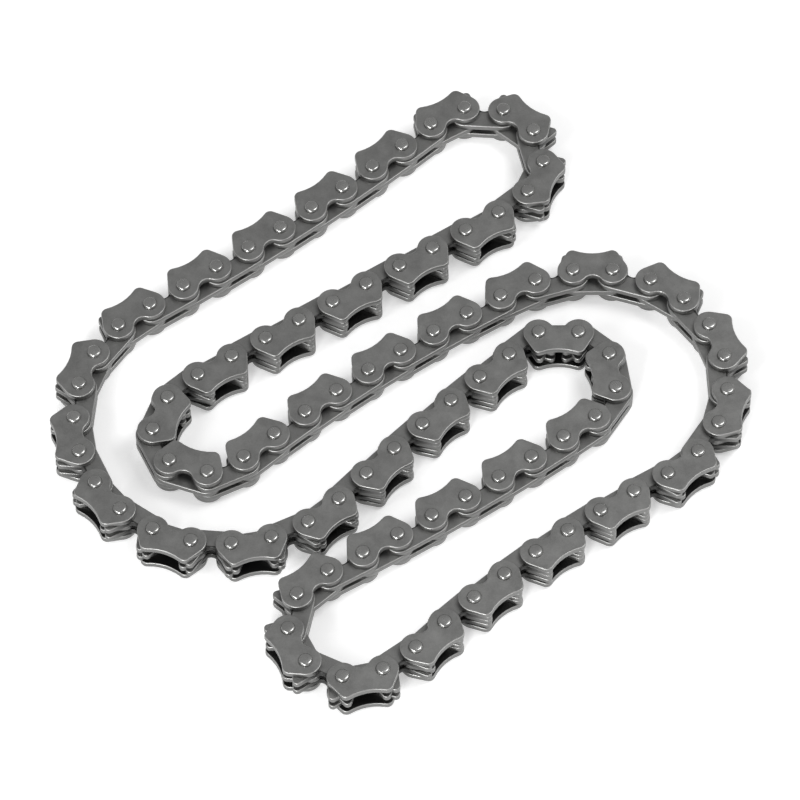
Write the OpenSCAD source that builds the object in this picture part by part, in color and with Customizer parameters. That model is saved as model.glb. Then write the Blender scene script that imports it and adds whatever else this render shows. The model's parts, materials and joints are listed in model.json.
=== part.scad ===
// Endless silent chain: an inverted-tooth timing chain that lies in a loose serpentine loop.
// Guide links (two guide plates pressed on two pins, with one toothed plate between them) alternate
// with tooth links (two toothed plates that turn on the pins). The teeth face out of the loop.

/* [Chain] */
// Distance between neighbouring pins
pitch = 6.35; // [6:0.05:9.5]
// Thickness of every plate
plate_t = 1.05; // [0.8:0.05:1.6]
// Side gap between plates of neighbouring layers
side_gap = 0.05; // [0.03:0.01:0.2]

/* [Pins] */
// Diameter of a pin's shank
pin_d = 2.1; // [1.6:0.05:2.4]
// Diameter of the riveted head on each end of a pin
head_d = 2.3; // [2.2:0.05:2.6]
// Length of pin that stands proud of each guide plate
head_h = 0.6; // [0.45:0.05:1]
// Radius of the round shoulder of each pin end
shoulder_r = 0.4; // [0.1:0.05:0.4]
// Radial gap between a pin and the toothed plates that turn on it
bore_gap = 0.05; // [0.03:0.01:0.1]
// Radial gap at the one pivot where the loop is left open
open_gap = 0.2; // [0.15:0.01:0.4]
// Seam between a pin and the guide plates that are pressed on it
press_seam = 0.01; // [0.005:0.005:0.03]

/* [Toothed plates] */
// Radius of the round ends about the pins
end_r = 2.4; // [2.1:0.05:2.7]
// Reach of the teeth beyond the pin line
tooth_reach = 3.85; // [3.5:0.05:4.4]
// Radius of a tooth's tip
tip_r = 0.45; // [0.3:0.05:0.6]
// Set-in of a tooth's tip from its pin, along the link
tip_inset = 0.1; // [-0.2:0.05:0.4]
// Radius at the top of the crotch between the two teeth
crotch_r = 1.1; // [0.8:0.05:1.2]
// Height of the crotch's top over the pin line
crotch_y = 0.3; // [0:0.05:0.8]

/* [Guide plates] */
// Radius of the lobes about the pins
lobe_r = 2.5; // [2.2:0.05:2.7]
// Reach of the corners beyond the pin line
corner_reach = 3.85; // [3.5:0.05:4.4]
// Radius of a corner
corner_r = 1.1; // [0.6:0.05:1.2]
// Set-in of a corner's centre from its pin, along the link
corner_inset = 0; // [-0.05:0.05:0.5]
// Depth of the shallow hollow between the corners
hollow = 0.6; // [0.3:0.05:1]
// Depth of the metal behind the pin line at the waist between the lobes
waist = 1; // [0.6:0.05:1.6]

/* [Hidden] */
// Heading of the link that leads into the first bend
start_heading = -132.5;
// Bends in order of travel: number of pins, pins to ease in, pins to ease out, total turn
BENDS = [
    [14, 1.2, 1.5, -193.5],
    [7, 1.6, 2.2, -189],
    [6, 2.5, 1.4, 189],
    [12, 2.5, 1, -180],
    [7, 2.3, 1.6, -195],
    [5, 1, 0.5, 184]
];
// Strand after each bend: number of pins, turn at each pin
STRANDS = [[8, 1], [8, 0], [7, -1.5], [7, 2], [7, 1], [6, 1]];
// Names of the bends, and the first and last link of each
BEND_NAMES = ["left_bend", "top_bend", "left_inner_bend", "right_bend", "bottom_bend", "right_inner_bend"];
BEND_LINKS = [[0, 12], [20, 28], [36, 42], [50, 60], [68, 74], [82, 86]];
// Number of links in the loop
LINKS = total([for (bend = BENDS) bend[0]]) + total([for (strand = STRANDS) strand[0]]);
// Links between two bends, which each turn on their own pins
FREE_LINKS = [
    for (k = [0 : len(BEND_LINKS) - 1])
        let (last = k + 1 < len(BEND_LINKS) ? BEND_LINKS[k + 1][0] : LINKS)
        for (i = [BEND_LINKS[k][1] + 1 : last - 1]) i
];
FREE_GUIDES = [for (i = FREE_LINKS) if (i % 2 == 0) i];
FREE_TEETH = [for (i = FREE_LINKS) if (i % 2 == 1) i];

pin_r = pin_d / 2;
layer_step = plate_t + side_gap;
stack_h = 5 * plate_t + 4 * side_gap;
pin_length = stack_h + 2 * head_h;
arc_step = 15;
bore_fn = 48;

// Sum of a list
function total(v) = v * [for (x = v) 1];

// Share of a bend's turn at each of its pins, which rises over the first pins and falls over the last
function eased(n, ease_in, ease_out) =
    [for (i = [0 : n - 1]) min(1, (i + 0.5) / ease_in, (n - i - 0.5) / ease_out)];

// Turns of one bend and of the strand after it
function run_turns(bend, strand) =
    let (share = eased(bend[0], bend[1], bend[2]))
    concat(share * bend[3] / total(share), [for (i = [1 : strand[0]]) strand[1]]);

TURNS = [for (k = [0 : len(BENDS) - 1]) each run_turns(BENDS[k], STRANDS[k])];

// Running sum of a list from a start value
function running(v, start) =
    [for (i = 0, s = start + v[0]; i < len(v); i = i + 1, s = s + (i < len(v) ? v[i] : 0 * v[0])) s];

// Nudges each heading along its own normal by the least amount that brings the loop's two ends together
function closed(headings, passes) =
    passes == 0 ? headings :
    let (
        sines = [for (a = headings) sin(a)],
        cosines = [for (a = headings) cos(a)],
        error = [total(cosines), total(sines)],
        ss = sines * sines,
        cc = cosines * cosines,
        sc = sines * cosines,
        along = (cc * error.x + sc * error.y) / (ss * cc - sc * sc),
        across = (sc * error.x + ss * error.y) / (ss * cc - sc * sc),
        nudges = (along * sines - across * cosines) * 180 / PI
    )
    closed(headings + nudges, passes - 1);

HEADINGS = closed(running(TURNS, start_heading), 5);
ENDS = running([for (a = HEADINGS) pitch * [cos(a), sin(a)]], [0, 0]);
PINS = [for (i = [0 : LINKS - 1]) ENDS[(i + LINKS - 1) % LINKS]];

// Points of an arc about a centre, from one angle to another
function arc(centre, r, from, to) =
    let (n = max(1, ceil(abs(to - from) / arc_step)))
    [for (i = [0 : n]) let (a = from + (to - from) * i / n) centre + r * [cos(a), sin(a)]];

// Angle of the line from one point to another
function bearing(p, q) = atan2(q.y - p.y, q.x - p.x);

// A half outline and its mirror image about the middle of the link
function mirrored(half) =
    concat(half, [for (i = [len(half) - 1 : -1 : 0]) [pitch - half[i].x, half[i].y]]);

// Angle of the outer flank's normal, on the line that touches the end round a pin and the tooth's tip
function flank_angle(tip, r_end, r_tip) =
    bearing([0, 0], tip) + acos((r_end - r_tip) / norm(tip));

// Toothed plate: flat back, round ends, and two teeth with a deep rounded crotch between them
function tooth_outline() =
    let (
        tip = [tip_inset, tooth_reach - tip_r],
        crotch = [pitch / 2, crotch_y + crotch_r],
        outer = flank_angle(tip, end_r, tip_r),
        inner = bearing(tip, crotch) + acos((tip_r + crotch_r) / norm(crotch - tip))
    )
    mirrored(concat(
        arc(crotch, crotch_r, 270, inner + 180),
        arc(tip, tip_r, inner, outer),
        arc([0, 0], end_r, outer, 270)
    ));

// Guide plate: round lobes with a waist between them at the back, and a shallow hollow between two corners
function guide_outline() =
    let (
        corner = [corner_inset, corner_reach - corner_r],
        half_gap = pitch / 2 - corner_inset,
        reach = (half_gap * half_gap + hollow * hollow) / (2 * hollow),
        hollow_centre = [pitch / 2, corner_reach - hollow + reach - corner_r],
        hollow_angle = bearing(corner, hollow_centre),
        waist_r = (pitch * pitch / 4 + waist * waist - lobe_r * lobe_r) / (2 * (lobe_r - waist)),
        waist_centre = [pitch / 2, -waist - waist_r],
        waist_angle = bearing([0, 0], waist_centre)
    )
    mirrored(concat(
        arc(hollow_centre, reach - corner_r, 270, hollow_angle + 180),
        arc(corner, corner_r, hollow_angle, flank_angle(corner, lobe_r, corner_r)),
        arc([0, 0], lobe_r, flank_angle(corner, lobe_r, corner_r), waist_angle + 360),
        arc(waist_centre, waist_r, waist_angle + 180, 90)
    ));

TOOTH = tooth_outline();
GUIDE = guide_outline();

// Middle of the box round the whole loop, which becomes the origin
function on_link(k, p) =
    PINS[k] + [p.x * cos(HEADINGS[k]) - p.y * sin(HEADINGS[k]), p.x * sin(HEADINGS[k]) + p.y * cos(HEADINGS[k])];
REACHES = [for (k = [0 : LINKS - 1]) for (p = concat(TOOTH, GUIDE)) on_link(k, p)];
REACH_X = [for (p = REACHES) p.x];
REACH_Y = [for (p = REACHES) p.y];
MIDDLE = [min(REACH_X) + max(REACH_X), min(REACH_Y) + max(REACH_Y)] / 2;

module on_chain(k) {
    translate([PINS[k].x - MIDDLE.x, PINS[k].y - MIDDLE.y, 0])
        rotate(HEADINGS[k])
            children();
}

// Plate of the given outline in one of the five layers, bored for both pins
module plate(outline, layer, near_bore_r, far_bore_r) {
    translate([0, 0, head_h + layer * layer_step])
        linear_extrude(plate_t)
            difference() {
                polygon(outline);
                circle(r = near_bore_r, $fn = bore_fn);
                translate([pitch, 0])
                    circle(r = far_bore_r, $fn = bore_fn);
            }
}

module guide_plate(layer) {
    color("dimgray")
        plate(GUIDE, layer, pin_r + press_seam, pin_r + press_seam);
}

module tooth_plate(layer, far_gap = bore_gap) {
    color("gray")
        plate(TOOTH, layer, pin_r + bore_gap, pin_r + far_gap);
}

// Half profile of one pin end: flat crown, round shoulder, and the riveted head's seat on its guide plate
function pin_end() =
    let (head_r = head_d / 2, seat = head_h - press_seam)
    concat(
        [[0, 0]],
        arc([head_r - shoulder_r, shoulder_r], shoulder_r, 270, 360),
        [[head_r, seat], [pin_r, seat]]
    );

// Pin with a riveted head on each end
module pin() {
    low = pin_end();
    high = [for (i = [len(low) - 1 : -1 : 0]) [low[i].x, pin_length - low[i].y]];
    color("silver")
        rotate_extrude($fn = bore_fn)
            polygon(concat(low, high));
}

module guide_pair(k) {
    on_chain(k) {
        guide_plate(0);
        guide_plate(4);
    }
}

module pin_pair(k) {
    on_chain(k) {
        pin();
        translate([pitch, 0, 0])
            pin();
    }
}

module middle_plate(k) {
    on_chain(k)
        tooth_plate(2);
}

// The last link's far bores are the open pivot of the loop
module tooth_pair(k) {
    far_gap = k == LINKS - 1 ? open_gap : bore_gap;
    on_chain(k) {
        tooth_plate(1, far_gap);
        tooth_plate(3, far_gap);
    }
}

module guide_link(k) {
    guide_pair(k);
    middle_plate(k);
    pin_pair(k);
}

module tooth_link(k) {
    tooth_pair(k);
}

module bend_guide_plates(links) {
    for (k = [links[0] : 2 : links[1]])
        guide_pair(k);
}

module bend_tooth_plates(links) {
    for (k = [links[0] : 2 : links[1]])
        middle_plate(k);
    for (k = [links[0] + 1 : 2 : links[1] - 1])
        tooth_pair(k);
}

module bend_pins(links) {
    for (k = [links[0] : 2 : links[1]])
        pin_pair(k);
}

for (b = [0 : len(BEND_NAMES) - 1]) {
    bend_guide_plates(BEND_LINKS[b]);
    bend_tooth_plates(BEND_LINKS[b]);
    bend_pins(BEND_LINKS[b]);
}
for (i = [1 : len(FREE_GUIDES)])
    guide_link(FREE_GUIDES[i - 1]);
for (i = [1 : len(FREE_TEETH)])
    tooth_link(FREE_TEETH[i - 1]);
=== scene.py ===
"""Silent chain: guide links and tooth links on riveted pins, lying in a loose serpentine loop."""
import json
import math

import bpy
import numpy as np
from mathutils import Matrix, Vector
from mathutils.geometry import tessellate_polygon

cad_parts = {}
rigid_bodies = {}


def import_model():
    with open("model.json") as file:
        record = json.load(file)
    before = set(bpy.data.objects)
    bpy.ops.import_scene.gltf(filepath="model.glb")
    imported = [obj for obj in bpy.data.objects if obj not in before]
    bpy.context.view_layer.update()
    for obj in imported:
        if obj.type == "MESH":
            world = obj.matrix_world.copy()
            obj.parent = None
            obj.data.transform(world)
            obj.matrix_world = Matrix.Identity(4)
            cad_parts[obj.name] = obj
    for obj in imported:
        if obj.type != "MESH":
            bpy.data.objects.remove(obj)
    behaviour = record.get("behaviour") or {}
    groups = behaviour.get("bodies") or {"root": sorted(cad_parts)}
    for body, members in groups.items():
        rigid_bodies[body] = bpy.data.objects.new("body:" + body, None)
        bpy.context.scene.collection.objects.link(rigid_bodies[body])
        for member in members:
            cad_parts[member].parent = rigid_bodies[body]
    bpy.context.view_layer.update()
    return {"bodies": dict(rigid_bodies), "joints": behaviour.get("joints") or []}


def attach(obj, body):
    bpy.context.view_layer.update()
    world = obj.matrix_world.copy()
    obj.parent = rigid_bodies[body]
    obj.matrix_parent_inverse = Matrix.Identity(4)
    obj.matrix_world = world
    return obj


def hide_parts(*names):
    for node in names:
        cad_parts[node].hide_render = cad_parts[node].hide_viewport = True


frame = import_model()
scene = bpy.context.scene

# How the chain lies: on its side, in a loop of six bends and six strands, with every pin one pitch
# from the next. A bend shares its turn over its pins, and eases it in and out.
PITCH = 6.35e-3
START_HEADING = -132.5
BENDS = ((14, 1.2, 1.5, -193.5), (7, 1.6, 2.2, -189), (6, 2.5, 1.4, 189),
         (12, 2.5, 1, -180), (7, 2.3, 1.6, -195), (5, 1, 0.5, 184))
STRANDS = ((8, 1), (8, 0), (7, -1.5), (7, 2), (7, 1), (6, 1))
BEND_NAMES = ("left_bend", "top_bend", "left_inner_bend", "right_bend", "bottom_bend", "right_inner_bend")
BEND_LINKS = ((0, 12), (20, 28), (36, 42), (50, 60), (68, 74), (82, 86))
CLOSING_PASSES = 5


def run_turns(bend, strand):
    """Turn at each pin of a bend, total * w / sum(w) with w = min(1, rise, fall), then of its strand."""
    count, ease_in, ease_out, total = bend
    place = np.arange(count) + 0.5
    share = np.minimum(1, np.minimum(place / ease_in, (count - place) / ease_out))
    return np.concatenate([total * share / share.sum(), np.full(strand[0], float(strand[1]))])


def closed(headings):
    """Headings h + n.L for normals n = (-sin h, cos h), with L the least step that ends the loop at its
    start."""
    for _ in range(CLOSING_PASSES):
        normals = np.stack([-np.sin(headings), np.cos(headings)], axis=1)
        error = np.array([np.cos(headings).sum(), np.sin(headings).sum()])
        headings = headings - normals @ np.linalg.solve(normals.T @ normals, error)
    return headings


turns = np.concatenate([run_turns(bend, strand) for bend, strand in zip(BENDS, STRANDS)])
headings = closed(np.radians(START_HEADING + np.cumsum(turns)))
link_count = len(headings)
steps = PITCH * np.stack([np.cos(headings), np.sin(headings)], axis=1)
pins = np.vstack([np.zeros(2), np.cumsum(steps, axis=0)[:-1]])

# The first hinge of the frame is the pin just after the first bend, and it places the whole loop.
first_free = BEND_LINKS[0][1] + 1
pins += np.array(frame["joints"][0]["pos_m"][:2]) - pins[first_free]

link_body = {k: name for name, (first, last) in zip(BEND_NAMES, BEND_LINKS)
             for k in range(first, last + 1)}
free_links = [k for k in range(link_count) if k not in link_body]
link_body.update({k: f"guide_link_{i}" for i, k in enumerate((k for k in free_links if k % 2 == 0), 1)})
link_body.update({k: f"tooth_link_{i}" for i, k in enumerate((k for k in free_links if k % 2 == 1), 1)})
links_on = {body: [k for k in range(link_count) if link_body[k] == body] for body in frame["bodies"]}


# Guide plates: the outer plates of a guide link, fine-blanked from strip, tumbled until their edges are
# round, and pressed on two pins. Lobes round the pins, a waist at the back, a shallow hollow in front.
PLATE_T = 1.05e-3
LAYER_STEP = 1.10e-3
HEAD_H = 0.6e-3
PIN_R = 1.05e-3
LOBE_R = 2.5e-3
CORNER_R = 1.1e-3
CORNER_REACH = 3.85e-3
CORNER = np.array([0, CORNER_REACH - CORNER_R])
HOLLOW = 0.6e-3
WAIST = 1.0e-3
EDGE_R = 0.16e-3
EDGE_STEPS = 3
ARC_STEP = math.radians(10)
BORE_SIDES = 24
SAME_POINT = 1e-7
BOTTOM_LAYER = 0
TOP_LAYER = 4


def arc(centre, radius, start, end):
    """Points centre + radius (cos a, sin a) for a from start to end."""
    a = np.linspace(start, end, max(2, math.ceil(abs(end - start) / ARC_STEP) + 1))
    return np.asarray(centre) + radius * np.stack([np.cos(a), np.sin(a)], axis=1)


def bearing(p, q):
    """Angle of the line from p to q."""
    return math.atan2(q[1] - p[1], q[0] - p[0])


def flank_angle(tip, end_r, tip_r):
    """Angle of the normal of the line that touches a round end and a tip's circle, the tip placed from
    the middle of the end."""
    return bearing((0, 0), tip) + math.acos((end_r - tip_r) / np.linalg.norm(tip))


def mirrored(half):
    """A half outline and its mirror image about the middle of the link, without doubled points."""
    other = half[::-1] * [-1, 1] + [PITCH, 0]
    ring = np.vstack([half, other])
    gap = np.linalg.norm(ring - np.roll(ring, 1, axis=0), axis=1)
    return ring[gap > SAME_POINT]


def guide_outline():
    """Hollow, corner, flank, lobe and waist: arcs that each touch the next, from the front's middle to the
    back's."""
    half_gap = PITCH / 2 - CORNER[0]
    reach = (half_gap**2 + HOLLOW**2) / (2 * HOLLOW)
    hollow = np.array([PITCH / 2, CORNER[1] - HOLLOW + reach])
    hollow_angle = bearing(CORNER, hollow)
    flank = flank_angle(CORNER, LOBE_R, CORNER_R)
    waist_r = (PITCH**2 / 4 + WAIST**2 - LOBE_R**2) / (2 * (LOBE_R - WAIST))
    waist = np.array([PITCH / 2, -WAIST - waist_r])
    waist_angle = bearing((0, 0), waist)
    return mirrored(np.vstack([
        arc(hollow, reach - CORNER_R, 1.5 * math.pi, hollow_angle + math.pi),
        arc(CORNER, CORNER_R, hollow_angle, flank),
        arc((0, 0), LOBE_R, flank, waist_angle + 2 * math.pi),
        arc(waist, waist_r, waist_angle + math.pi, math.pi / 2),
    ]))


def plate_shape(outline, bore_radii, covered_faces, shaded_rim):
    """Vertices, quads, triangles and masks of one plate. Its rim is the outline carried through a profile
    with a quarter round of radius EDGE_R at both faces: inset EDGE_R (1 - cos t), height
    EDGE_R (1 + sin t)."""
    count = len(outline)
    tangent = np.roll(outline, -1, axis=0) - np.roll(outline, 1, axis=0)
    tangent /= np.linalg.norm(tangent, axis=1, keepdims=True)
    inward = np.stack([-tangent[:, 1], tangent[:, 0]], axis=1)
    t = np.linspace(-math.pi / 2, 0, EDGE_STEPS + 1)
    inset = np.concatenate([EDGE_R * (1 - np.cos(t)), EDGE_R * (1 - np.cos(t[::-1]))])
    rise = EDGE_R * (1 + np.sin(t))
    height = np.concatenate([rise, PLATE_T - rise[::-1]])
    rings = len(height)
    rim = outline[None] + inset[:, None, None] * inward[None]
    rim = np.concatenate([rim, np.broadcast_to(height[:, None, None], (rings, count, 1))], axis=2)

    a = np.arange(BORE_SIDES) * 2 * math.pi / BORE_SIDES
    unit = np.stack([np.cos(a), np.sin(a)], axis=1)
    circles = [radius * unit + [x, 0] for radius, x in zip(bore_radii, (0, PITCH))]
    bores = [np.c_[circle, np.full(BORE_SIDES, z)] for circle in circles for z in (0, PLATE_T)]
    verts = np.vstack([rim.reshape(-1, 3), *bores])

    i = np.arange(count)
    j = (i + 1) % count
    base = (np.arange(rings - 1) * count)[:, None]
    quads = [np.stack([base + i, base + j, base + count + j, base + count + i], axis=2).reshape(-1, 4)]
    b = np.arange(BORE_SIDES)
    c = (b + 1) % BORE_SIDES
    start = rings * count
    for bore in range(2):
        low = start + 2 * bore * BORE_SIDES
        quads.append(np.stack([low + c, low + b, low + BORE_SIDES + b, low + BORE_SIDES + c], axis=1))

    flat = [[Vector((*p, 0)) for p in ring] for ring in (rim[0, :, :2], *circles)]
    fill = np.array(tessellate_polygon(flat))
    bottom = np.concatenate([i, start + b, start + 2 * BORE_SIDES + b])
    top = np.concatenate([(rings - 1) * count + i, start + BORE_SIDES + b, start + 3 * BORE_SIDES + b])
    p, q, r = (verts[bottom][fill[:, n], :2] for n in range(3))
    turned = np.cross(q - p, r - p) < 0
    fill[turned] = fill[turned][:, ::-1]
    tris = np.vstack([bottom[fill[:, ::-1]], top[fill]])

    # A vertex is worn on the rounds and on the rim's wall between them, by shares that fade into the faces.
    # It takes painted shade on a face that another plate covers, and on the given part of the rim.
    slope = np.abs(np.concatenate([t, t[::-1]])) / (math.pi / 2)
    worn = np.where(slope < 1, 1 - np.abs(2 * slope - 1), 0)
    # The wall share darkens the rim's wall: painted shade, the shade that falls on the walls and between
    # plates.
    wall = np.clip(1 - 2 * slope, 0, 1)
    covered = np.zeros(rings)
    covered[[0, -1]] = covered_faces
    oily = np.maximum(covered[:, None], shaded_rim[None])
    masks = np.stack([np.repeat(worn, count), np.repeat(wall, count), oily.ravel()], axis=1)
    bore_masks = np.zeros((4 * BORE_SIDES, 3))
    bore_masks[:, 2] = np.tile(np.repeat(covered_faces, BORE_SIDES), 2)
    return verts, np.vstack(quads), tris, np.vstack([masks, bore_masks])


def laid(shape, places):
    """Copies of a shape: each place is (link, x, z), and a vertex v goes to
    pin + R(heading) (v + (x, 0, z))."""
    verts, quads, tris, masks = shape
    copies = []
    for k, x, z in places:
        c, s = math.cos(headings[k]), math.sin(headings[k])
        turn = np.array([[c, s, 0], [-s, c, 0], [0, 0, 1]])
        copies.append((verts + [x, 0, z]) @ turn + [*pins[k], 0])
    offset = (np.arange(len(places)) * len(verts))[:, None, None]
    return (np.vstack(copies), (quads[None] + offset).reshape(-1, 4), (tris[None] + offset).reshape(-1, 3),
            np.tile(masks, (len(places), 1)))


def joined(first, second):
    """Two shapes as one: the second's faces count on from the first's vertices."""
    count = len(first[0])
    return (np.vstack([first[0], second[0]]), np.vstack([first[1], second[1] + count]),
            np.vstack([first[2], second[2] + count]), np.vstack([first[3], second[3]]))


def new_piece(name, body, nodes, material, shape):
    """A mesh piece at the origin from whole arrays, riding on its body in place of its nodes."""
    verts, quads, tris, masks = shape
    mesh = bpy.data.meshes.new(name)
    mesh.vertices.add(len(verts))
    mesh.vertices.foreach_set("co", verts.astype(np.float32).ravel())
    mesh.loops.add(quads.size + tris.size)
    mesh.loops.foreach_set("vertex_index", np.concatenate([quads.ravel(), tris.ravel()]).astype(np.int32))
    starts = np.concatenate([np.arange(len(quads)) * 4, quads.size + np.arange(len(tris)) * 3])
    mesh.polygons.add(len(starts))
    mesh.polygons.foreach_set("loop_start", starts.astype(np.int32))
    mesh.polygons.foreach_set("use_smooth", np.arange(len(starts)) < len(quads))
    mesh.update(calc_edges=True)
    # Attributes: the worn edges, the painted shade on the wall, and the painted shade between parts.
    for column, mask in enumerate(("worn", "wall", "oily")):
        values = mesh.attributes.new(mask, "FLOAT", "POINT")
        values.data.foreach_set("value", masks[:, column].astype(np.float32))
    mesh.materials.append(material)
    piece = bpy.data.objects.new(name, mesh)
    scene.collection.objects.link(piece)
    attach(piece, body)
    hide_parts(*nodes)


CLOUD_SCALE = 420.0
CLOUD_DETAIL = 4.0
GRAIN_SCALE = 5200.0
GRAIN_DETAIL = 3.0
GRAIN_SHARE = 0.45
TONE_LOW = 0.32
TONE_HIGH = 0.68


def marks_and_shade_group():
    """Marks of tumbling on steel: two noises on Object coordinates give a tone, a roughness and a height.
    Over the tone lie a darker wall, which is painted shade, the worn edges, and a near-black painted shade
    between parts.
    """
    group = bpy.data.node_groups.new("tumbled_marks", "ShaderNodeTree")
    for name in ("Dark", "Light", "Wall", "Worn", "Oily"):
        group.interface.new_socket(name, in_out="INPUT", socket_type="NodeSocketColor")
    for name in ("Smooth", "Rough"):
        group.interface.new_socket(name, in_out="INPUT", socket_type="NodeSocketFloat")
    for name, kind in (("Color", "NodeSocketColor"), ("Roughness", "NodeSocketFloat"),
                       ("Height", "NodeSocketFloat")):
        group.interface.new_socket(name, in_out="OUTPUT", socket_type=kind)
    nodes, link = group.nodes, group.links.new
    inputs, outputs = nodes.new("NodeGroupInput"), nodes.new("NodeGroupOutput")
    place = nodes.new("ShaderNodeTexCoord")
    cloud, grain = nodes.new("ShaderNodeTexNoise"), nodes.new("ShaderNodeTexNoise")
    for noise, scale, detail in ((cloud, CLOUD_SCALE, CLOUD_DETAIL), (grain, GRAIN_SCALE, GRAIN_DETAIL)):
        noise.inputs["Scale"].default_value = scale
        noise.inputs["Detail"].default_value = detail
        link(place.outputs["Object"], noise.inputs["Vector"])
    tone = nodes.new("ShaderNodeMix")
    tone.data_type = "FLOAT"
    tone.inputs["Factor"].default_value = GRAIN_SHARE
    link(cloud.outputs["Fac"], tone.inputs["A"])
    link(grain.outputs["Fac"], tone.inputs["B"])
    spread = nodes.new("ShaderNodeMapRange")
    spread.inputs["From Min"].default_value = TONE_LOW
    spread.inputs["From Max"].default_value = TONE_HIGH
    link(tone.outputs["Result"], spread.inputs["Value"])
    colour, side, edge, shade_mix = (nodes.new("ShaderNodeMix") for _ in range(4))
    colour.data_type = side.data_type = edge.data_type = shade_mix.data_type = "RGBA"
    link(spread.outputs["Result"], colour.inputs["Factor"])
    link(inputs.outputs["Dark"], colour.inputs["A"])
    link(inputs.outputs["Light"], colour.inputs["B"])
    below = colour
    # Over the tone lie the wall's painted shade, the worn edges, and last the painted shade between parts.
    for layer, mask, tint in ((side, "wall", "Wall"), (edge, "worn", "Worn"), (shade_mix, "oily", "Oily")):
        share = nodes.new("ShaderNodeAttribute")
        share.attribute_name = mask
        link(share.outputs["Fac"], layer.inputs["Factor"])
        link(below.outputs["Result"], layer.inputs["A"])
        link(inputs.outputs[tint], layer.inputs["B"])
        below = layer
    rough = nodes.new("ShaderNodeMapRange")
    link(spread.outputs["Result"], rough.inputs["Value"])
    link(inputs.outputs["Smooth"], rough.inputs["To Min"])
    link(inputs.outputs["Rough"], rough.inputs["To Max"])
    link(shade_mix.outputs["Result"], outputs.inputs["Color"])
    link(rough.outputs["Result"], outputs.inputs["Roughness"])
    link(grain.outputs["Fac"], outputs.inputs["Height"])
    return group


tumbled_marks = marks_and_shade_group()
# Near-black painted shade for the covered faces of the plates and the crotches of the toothed plates.
PAINTED_SHADE_TONE = 0.05
BLUE_SHARE = 0.98
DENT_DEPTH = 0.02e-3


def steel(name, dark, light, wall, worn, smooth, rough, dents):
    """Steel whose tone, roughness and fine dents come from the tumbled marks, with a darker wall and a
    near-black tone between parts over the tone: both are painted shade.
    """
    material = bpy.data.materials.new(name)
    material.use_nodes = True
    nodes, link = material.node_tree.nodes, material.node_tree.links.new
    shader = nodes["Principled BSDF"]
    shader.inputs["Metallic"].default_value = 1.0
    marks_and_shade = nodes.new("ShaderNodeGroup")
    marks_and_shade.node_tree = tumbled_marks
    # The wall tone and the near-black tone between parts are painted shade.
    tones = {"Dark": dark, "Light": light, "Wall": wall, "Worn": worn, "Oily": PAINTED_SHADE_TONE}
    for socket, tone in tones.items():
        marks_and_shade.inputs[socket].default_value = (tone, tone, BLUE_SHARE * tone, 1.0)
    marks_and_shade.inputs["Smooth"].default_value = smooth
    marks_and_shade.inputs["Rough"].default_value = rough
    bump = nodes.new("ShaderNodeBump")
    bump.inputs["Strength"].default_value = dents
    bump.inputs["Distance"].default_value = DENT_DEPTH
    link(marks_and_shade.outputs["Color"], shader.inputs["Base Color"])
    link(marks_and_shade.outputs["Roughness"], shader.inputs["Roughness"])
    link(marks_and_shade.outputs["Height"], bump.inputs["Height"])
    link(bump.outputs["Normal"], shader.inputs["Normal"])
    return material


guide_steel = steel("guide_plate_steel", dark=0.22, light=0.29, wall=0.2, worn=0.45,
                    smooth=0.36, rough=0.5, dents=0.25)
PRESS_SEAM = 0.01e-3
guide_rim = guide_outline()
# The rim of a guide plate takes no painted shade; the faces that the toothed plates cover do.
unshaded_rim = np.zeros(len(guide_rim))
press_fits = (PIN_R + PRESS_SEAM, PIN_R + PRESS_SEAM)
guide_shapes = {BOTTOM_LAYER: plate_shape(guide_rim, press_fits, (0, 1), unshaded_rim),
                TOP_LAYER: plate_shape(guide_rim, press_fits, (1, 0), unshaded_rim)}


def layer_z(layer):
    """Height of a layer's lower face, layers counted from the bottom."""
    return HEAD_H + layer * LAYER_STEP


def body_nodes(body, ending):
    """A bend keeps its plates and pins in nodes of their own; a free link is one node."""
    return [body + ending] if body in BEND_NAMES else [body]


for body, links in links_on.items():
    guides = [k for k in links if k % 2 == 0]
    if guides:
        pair = [laid(shape, [(k, 0, layer_z(layer)) for k in guides])
                for layer, shape in guide_shapes.items()]
        new_piece(f"{body}_outer_plates", body, body_nodes(body, "_guide_plates"),
                  guide_steel, joined(*pair))


# Toothed plates: blanked from the same strip, with two blunt teeth in front. The round ends sit a little
# behind the pins, which makes the flat back deep. Two make a tooth link, turning on the pins, and one
# stands in the middle of each guide link.
END_R = 2.4e-3
BACK_DROP = 0.4e-3
END = np.array([0, -BACK_DROP])
TIP_R = 0.7e-3
TIP_INSET = 0.1e-3
TOOTH_REACH = 3.85e-3
TIP = np.array([TIP_INSET, TOOTH_REACH - TIP_R])
CROTCH_R = 1.1e-3
CROTCH_Y = 0.3e-3
CROTCH = np.array([PITCH / 2, CROTCH_Y + CROTCH_R])
BORE_GAP = 0.05e-3
MIDDLE_LAYER = 2
OUTER_TOOTH_LAYERS = (1, 3)

# The last link closes the loop, and its far bore has more play.
OPEN_GAP = 0.2e-3


def tooth_outline():
    """Crotch, inner flank, tip, outer flank, round end and flat back: arcs joined by their common
    tangents."""
    outer = flank_angle(TIP - END, END_R, TIP_R)
    inner = bearing(TIP, CROTCH) + math.acos((TIP_R + CROTCH_R) / np.linalg.norm(CROTCH - TIP))
    return mirrored(np.vstack([
        arc(CROTCH, CROTCH_R, 1.5 * math.pi, inner + math.pi),
        arc(TIP, TIP_R, inner, outer),
        arc(END, END_R, outer, 1.5 * math.pi),
    ]))


tooth_steel = steel("tooth_plate_steel", dark=0.2, light=0.265, wall=0.2, worn=0.45,
                    smooth=0.36, rough=0.5, dents=0.25)
tooth_rim = tooth_outline()
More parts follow.
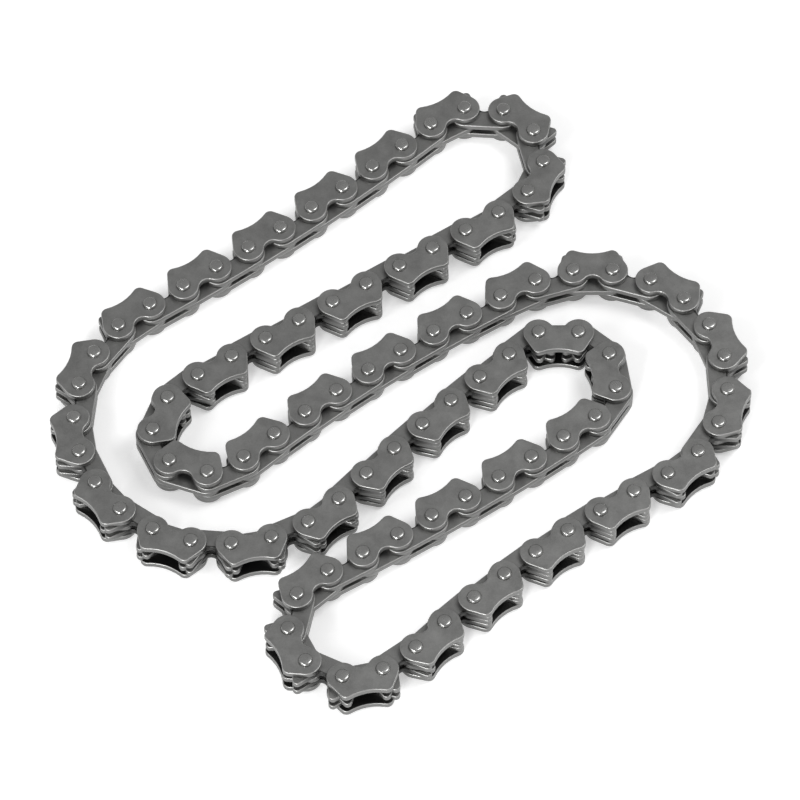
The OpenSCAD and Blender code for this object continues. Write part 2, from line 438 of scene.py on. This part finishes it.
# The crotch between the teeth takes the near-black painted shade, where shade falls deep.
crotch_rim = (np.abs(tooth_rim[:, 0] - PITCH / 2) < CROTCH_R) & (tooth_rim[:, 1] > 0)
crotch_shade = crotch_rim.astype(float)
tooth_shape = plate_shape(tooth_rim, (PIN_R + BORE_GAP, PIN_R + BORE_GAP), (0, 0), crotch_shade)
last_shape = plate_shape(tooth_rim, (PIN_R + BORE_GAP, PIN_R + OPEN_GAP), (0, 0), crotch_shade)
for body, links in links_on.items():
    teeth = [(k, 0, layer_z(layer)) for k in links
             for layer in ((MIDDLE_LAYER,) if k % 2 == 0 else OUTER_TOOTH_LAYERS)]
    shape = last_shape if links == [link_count - 1] else tooth_shape
    new_piece(f"{body}_toothed_plates", body, body_nodes(body, "_tooth_plates"),
              tooth_steel, laid(shape, teeth))


# Pins: ground round steel, pressed through the guide plates and riveted over, so that each end is a low
# head with a round shoulder and a nearly flat crown.
STACK_H = TOP_LAYER * LAYER_STEP + PLATE_T
PIN_LENGTH = STACK_H + 2 * HEAD_H
HEAD_R = 1.15e-3
SHOULDER_R = 0.4e-3
SHOULDER_STEPS = 5
CROWN_H = 0.04e-3
CROWN_RING = 0.55
CROWN_DROP = 0.3
PIN_SIDES = 28


def pin_shape():
    """A profile (r, z) turned about the pin: crown, quarter-round shoulder, head, shank, and the same
    above."""
    t = np.linspace(-math.pi / 2, 0, SHOULDER_STEPS + 1)
    r = np.concatenate([HEAD_R - SHOULDER_R + SHOULDER_R * np.cos(t), [HEAD_R, PIN_R]])
    z = np.concatenate([CROWN_H + SHOULDER_R * (1 + np.sin(t)), [HEAD_H - PRESS_SEAM] * 2])
    r = np.concatenate([[CROWN_RING * (HEAD_R - SHOULDER_R)], r])
    z = np.concatenate([[CROWN_DROP * CROWN_H], z])
    r, z = np.concatenate([r, r[::-1]]), np.concatenate([z, PIN_LENGTH - z[::-1]])
    a = np.arange(PIN_SIDES) * 2 * math.pi / PIN_SIDES
    level = np.repeat(z[:, None], PIN_SIDES, axis=1)
    turned = np.stack([np.outer(r, np.cos(a)), np.outer(r, np.sin(a)), level], axis=2)
    verts = np.vstack([turned.reshape(-1, 3), [[0, 0, 0], [0, 0, PIN_LENGTH]]])
    i = np.arange(PIN_SIDES)
    j = (i + 1) % PIN_SIDES
    base = (np.arange(len(r) - 1) * PIN_SIDES)[:, None]
    quads = np.stack([base + i, base + j, base + PIN_SIDES + j, base + PIN_SIDES + i], axis=2).reshape(-1, 4)
    last = (len(r) - 1) * PIN_SIDES
    low, high = len(verts) - 2, len(verts) - 1
    tris = np.vstack([np.stack([j, i, np.full(PIN_SIDES, low)], axis=1),
                      np.stack([last + i, last + j, np.full(PIN_SIDES, high)], axis=1)])
    return verts, quads, tris, np.zeros((len(verts), 3))


pin_steel = steel("pin_steel", dark=0.32, light=0.41, wall=0.3, worn=0.5,
                  smooth=0.2, rough=0.3, dents=0.15)
pin_one = pin_shape()
for body, links in links_on.items():
    ends = [(k, x, 0) for k in links if k % 2 == 0 for x in (0, PITCH)]
    if ends:
        new_piece(f"{body}_rivet_pins", body, body_nodes(body, "_pins"), pin_steel,
                  laid(pin_one, ends))


# The table: a plain white sheet under the chain, which the camera and the steel see as white and which
# still takes the soft shadow at the foot of the plates.
TABLE_HALF = 3.0
TABLE_GREY = 0.85
TABLE_GLOW = 0.38
floor_mesh = bpy.data.meshes.new("table_top")
corners = [(x * TABLE_HALF, y * TABLE_HALF, 0) for x, y in ((-1, -1), (1, -1), (1, 1), (-1, 1))]
floor_mesh.from_pydata(corners, [], [(0, 1, 2, 3)])
floor = bpy.data.objects.new("table_top", floor_mesh)
scene.collection.objects.link(floor)
paper = bpy.data.materials.new("white_table")
paper.use_nodes = True
paper_nodes, paper_link = paper.node_tree.nodes, paper.node_tree.links.new
paper_nodes.remove(paper_nodes["Principled BSDF"])
shade = paper_nodes.new("ShaderNodeBsdfDiffuse")
shade.inputs["Color"].default_value = (TABLE_GREY, TABLE_GREY, TABLE_GREY, 1)
path = paper_nodes.new("ShaderNodeLightPath")
seen = path.outputs["Is Camera Ray"]
for ray in ("Is Glossy Ray", "Is Transmission Ray"):
    either = paper_nodes.new("ShaderNodeMath")
    either.operation = "MAXIMUM"
    paper_link(seen, either.inputs[0])
    paper_link(path.outputs[ray], either.inputs[1])
    seen = either.outputs[0]
glow_share = paper_nodes.new("ShaderNodeMath")
glow_share.operation = "MULTIPLY"
glow_share.inputs[1].default_value = TABLE_GLOW
paper_link(seen, glow_share.inputs[0])
glow = paper_nodes.new("ShaderNodeEmission")
paper_link(glow_share.outputs[0], glow.inputs["Strength"])
lit = paper_nodes.new("ShaderNodeAddShader")
paper_link(shade.outputs[0], lit.inputs[0])
paper_link(glow.outputs[0], lit.inputs[1])
paper_link(lit.outputs[0], paper_nodes["Material Output"].inputs["Surface"])
floor_mesh.materials.append(paper)


# Studio light: an even grey room, a high soft box at the right that throws the shadows, and soft boxes left
# and in front, whose glints lie on the near shoulders of the pins and the near edges of the plates.
ROOM_GREY = 0.44
room = bpy.data.worlds.new("room")
scene.world = room
room.use_nodes = True
background = room.node_tree.nodes["Background"]
background.inputs["Color"].default_value = (ROOM_GREY, ROOM_GREY, ROOM_GREY, 1)
background.inputs["Strength"].default_value = 1.0


def soft_box(name, place, side, watts):
    """A square lamp at a place, turned to the middle of the chain."""
    lamp = bpy.data.lights.new(name, "AREA")
    lamp.shape = "RECTANGLE"
    lamp.size = lamp.size_y = side
    lamp.energy = watts
    box = bpy.data.objects.new(name, lamp)
    box.location = place
    box.rotation_euler = (-Vector(place)).to_track_quat("-Z", "Y").to_euler()
    scene.collection.objects.link(box)


soft_box("key_box", place=(0.42, 0.06, 0.86), side=0.42, watts=3.2)
soft_box("left_box", place=(-0.55, -0.42, 0.65), side=0.3, watts=2.0)
soft_box("front_box", place=(-0.25, -0.75, 0.34), side=0.22, watts=4.6)


# Camera: a long lens that looks down on the table, level with the photograph's frame.
IMAGE_SIDE = 800
FOCAL_PIXELS = 6000
ELEVATION = math.radians(57.5)
DISTANCE = 0.956
TARGET = Vector((-0.2e-3, 0.7e-3, 0))
SENSOR_WIDTH = 36.0
NEAREST = 0.01
FURTHEST = 20.0
camera_data = bpy.data.cameras.new("camera")
camera_data.sensor_width = SENSOR_WIDTH
camera_data.lens = SENSOR_WIDTH * FOCAL_PIXELS / IMAGE_SIDE
camera_data.clip_start, camera_data.clip_end = NEAREST, FURTHEST
camera = bpy.data.objects.new("camera", camera_data)
camera.location = TARGET + DISTANCE * Vector((0, -math.cos(ELEVATION), math.sin(ELEVATION)))
camera.rotation_euler = (math.pi / 2 - ELEVATION, 0, 0)
scene.collection.objects.link(camera)
scene.camera = camera
scene.view_settings.view_transform = "Standard"
